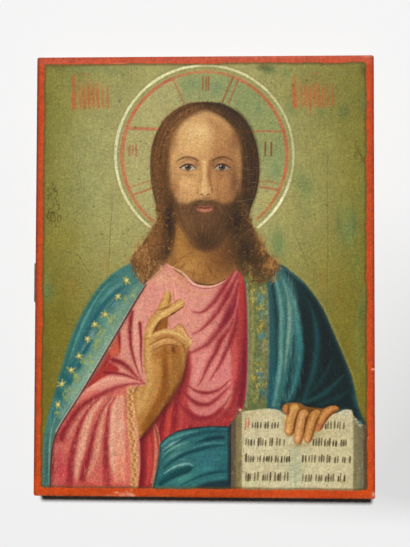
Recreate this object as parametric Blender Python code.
# Painted icon panel: two glued planks, a tapered dovetail batten let into the
# back, and a plate of gesso ground on the front that carries the painting.
# Metres, +Z out of the painted face, +Y to the top of the picture. The origin
# is the centre of the panel's back, so the panel lies face up on Z = 0.

import math

import bmesh
import bpy

# Panel
panel_width = 0.240
panel_height = 0.312
board_thickness = 0.024
ground_thickness = 0.0016

# Planks: a wide one, and a narrow one on the right of the picture
narrow_plank_width = 0.0345
glue_line = 0.0003

# Rounded and planed edges
corner_round = 0.0016
corner_segments = 4
arris_round = 0.0009
arris_segments = 3
back_chamfer = 0.0028

# Batten, driven in from the left and thinner at its right end
batten_wide_end = 0.0285
batten_narrow_end = 0.0235
batten_depth = 0.0095
batten_centre_y = -0.005
batten_overhang = 0.004
batten_far_gap = 0.0008
batten_edge_round = 0.0006
batten_edge_segments = 2
dovetail_angle = math.radians(13)

# Clearance between pieces that touch, and how far a cutter runs past its wall
seat_gap = 0.0003
cutter_margin = 0.010

# How far a point may lie off a level and still belong to it
level_tolerance = 1e-6

wood_back = (0.30, 0.185, 0.10)
wood_batten = (0.34, 0.22, 0.125)
paint_green = (0.36, 0.36, 0.14)


def clear_scene():
    for old in list(bpy.data.objects):
        bpy.data.objects.remove(old, do_unlink=True)


def collection_named(name):
    found = bpy.data.collections.new(name)
    bpy.context.scene.collection.children.link(found)
    return found


def material_named(name, colour, roughness):
    made = bpy.data.materials.new(name)
    made.use_nodes = True
    shader = made.node_tree.nodes["Principled BSDF"]
    shader.inputs["Base Color"].default_value = (*colour, 1.0)
    shader.inputs["Roughness"].default_value = roughness
    shader.inputs["Metallic"].default_value = 0.0
    return made


def object_from(bm, name, collection, material=None):
    mesh = bpy.data.meshes.new(name)
    bmesh.ops.recalc_face_normals(bm, faces=bm.faces)
    bm.to_mesh(mesh)
    bm.free()
    made = bpy.data.objects.new(name, mesh)
    if material:
        mesh.materials.append(material)
    collection.objects.link(made)
    return made


def block(low, high):
    """A cube primitive stretched between two corners."""
    bm = bmesh.new()
    bmesh.ops.create_cube(bm, size=1.0)
    size = [high[i] - low[i] for i in range(3)]
    middle = [(high[i] + low[i]) / 2 for i in range(3)]
    bmesh.ops.scale(bm, vec=size, verts=bm.verts)
    bmesh.ops.translate(bm, vec=middle, verts=bm.verts)
    return bm


def upright_edges(bm):
    """The edges that climb, at the four corners."""
    return [e for e in bm.edges if abs(e.verts[0].co.z - e.verts[1].co.z) > level_tolerance]


def rim_edges(bm, height):
    """The edges that lie at one height."""
    return [
        e for e in bm.edges if all(abs(v.co.z - height) < level_tolerance for v in e.verts)
    ]


def round_edges(bm, edges, radius, segments):
    bmesh.ops.bevel(
        bm,
        geom=edges,
        offset=radius,
        offset_type="OFFSET",
        affect="EDGES",
        segments=segments,
        profile=0.5,
        material=-1,
    )


def panel_block(bottom, top, rim_height, rim_radius, rim_segments):
    """A block of the panel's outline, one rim eased and its four corners rounded."""
    bm = block(
        (-panel_width / 2, -panel_height / 2, bottom),
        (panel_width / 2, panel_height / 2, top),
    )
    round_edges(bm, rim_edges(bm, rim_height), rim_radius, rim_segments)
    round_edges(bm, upright_edges(bm), corner_round, corner_segments)
    return bm


def half_width_at(x):
    """Half of the batten's width where it is widest, which tapers along X."""
    start = -panel_width / 2 - batten_overhang
    share = (x - start) / (panel_width + batten_overhang)
    return (batten_wide_end + (batten_narrow_end - batten_wide_end) * share) / 2


def dovetail_block(left, right, bottom, top, clearance):
    """A dovetail prism along X: widest at its inner face, and tapered in plan."""
    bm = block((left, -1.0, bottom), (right, 1.0, top))
    flare = math.tan(dovetail_angle)
    for vertex in bm.verts:
        side = math.copysign(1.0, vertex.co.y)
        half = half_width_at(vertex.co.x)
        half += (vertex.co.z - batten_depth) * flare + clearance
        vertex.co.y = batten_centre_y + side * half
    return bm


def make_plank(name, left, right, groove, collection, cutters, material):
    """One plank of the board, cut out of the panel's block with the groove through it."""
    bm = panel_block(0.0, board_thickness, 0.0, back_chamfer, 1)
    plank = object_from(bm, name, collection, material)
    reach = panel_height / 2 + cutter_margin
    slab = object_from(
        block((left, -reach, -cutter_margin), (right, reach, board_thickness + cutter_margin)),
        name + "_bounds",
        cutters,
    )
    for cutter, operation in ((slab, "INTERSECT"), (groove, "DIFFERENCE")):
        cut = plank.modifiers.new(operation.title(), "BOOLEAN")
        cut.operation = operation
        cut.solver = "EXACT"
        cut.object = cutter
    return plank


def make_groove(cutters):
    reach = panel_width / 2 + cutter_margin
    bm = dovetail_block(
        -reach, reach, -cutter_margin, batten_depth + seat_gap, seat_gap
    )
    return object_from(bm, "batten_groove", cutters)


def make_batten(collection, material):
    """The batten, flush with the back, its thick end standing out at the left."""
    bm = dovetail_block(
        -panel_width / 2 - batten_overhang,
        panel_width / 2 - batten_far_gap,
        0.0,
        batten_depth,
        0.0,
    )
    round_edges(bm, list(bm.edges), batten_edge_round, batten_edge_segments)
    return object_from(bm, "back_batten", collection, material)


def make_ground(collection, material):
    """The gesso plate over both planks, with the arris of its front worn round."""
    bottom = board_thickness + seat_gap
    top = bottom + ground_thickness
    bm = panel_block(bottom, top, top, arris_round, arris_segments)
    return object_from(bm, "painted_ground", collection, material)


def make_panel():
    parts = collection_named("icon_panel")
    cutters = collection_named("cutters")
    bare_wood = material_named("bare_wood", wood_back, 0.75)
    batten_wood = material_named("batten_wood", wood_batten, 0.7)
    painted = material_named("painted_ground", paint_green, 0.4)

    groove = make_groove(cutters)
    joint = panel_width / 2 - narrow_plank_width
    outside = panel_width / 2 + cutter_margin
    make_plank(
        "wide_plank", -outside, joint - glue_line / 2, groove, parts, cutters, bare_wood
    )
    make_plank(
        "narrow_plank", joint + glue_line / 2, outside, groove, parts, cutters, bare_wood
    )
    make_batten(parts, batten_wood)
    make_ground(parts, painted)

    for cutter in cutters.objects:
        cutter.hide_render = True
        cutter.display_type = "WIRE"


clear_scene()
make_panel()
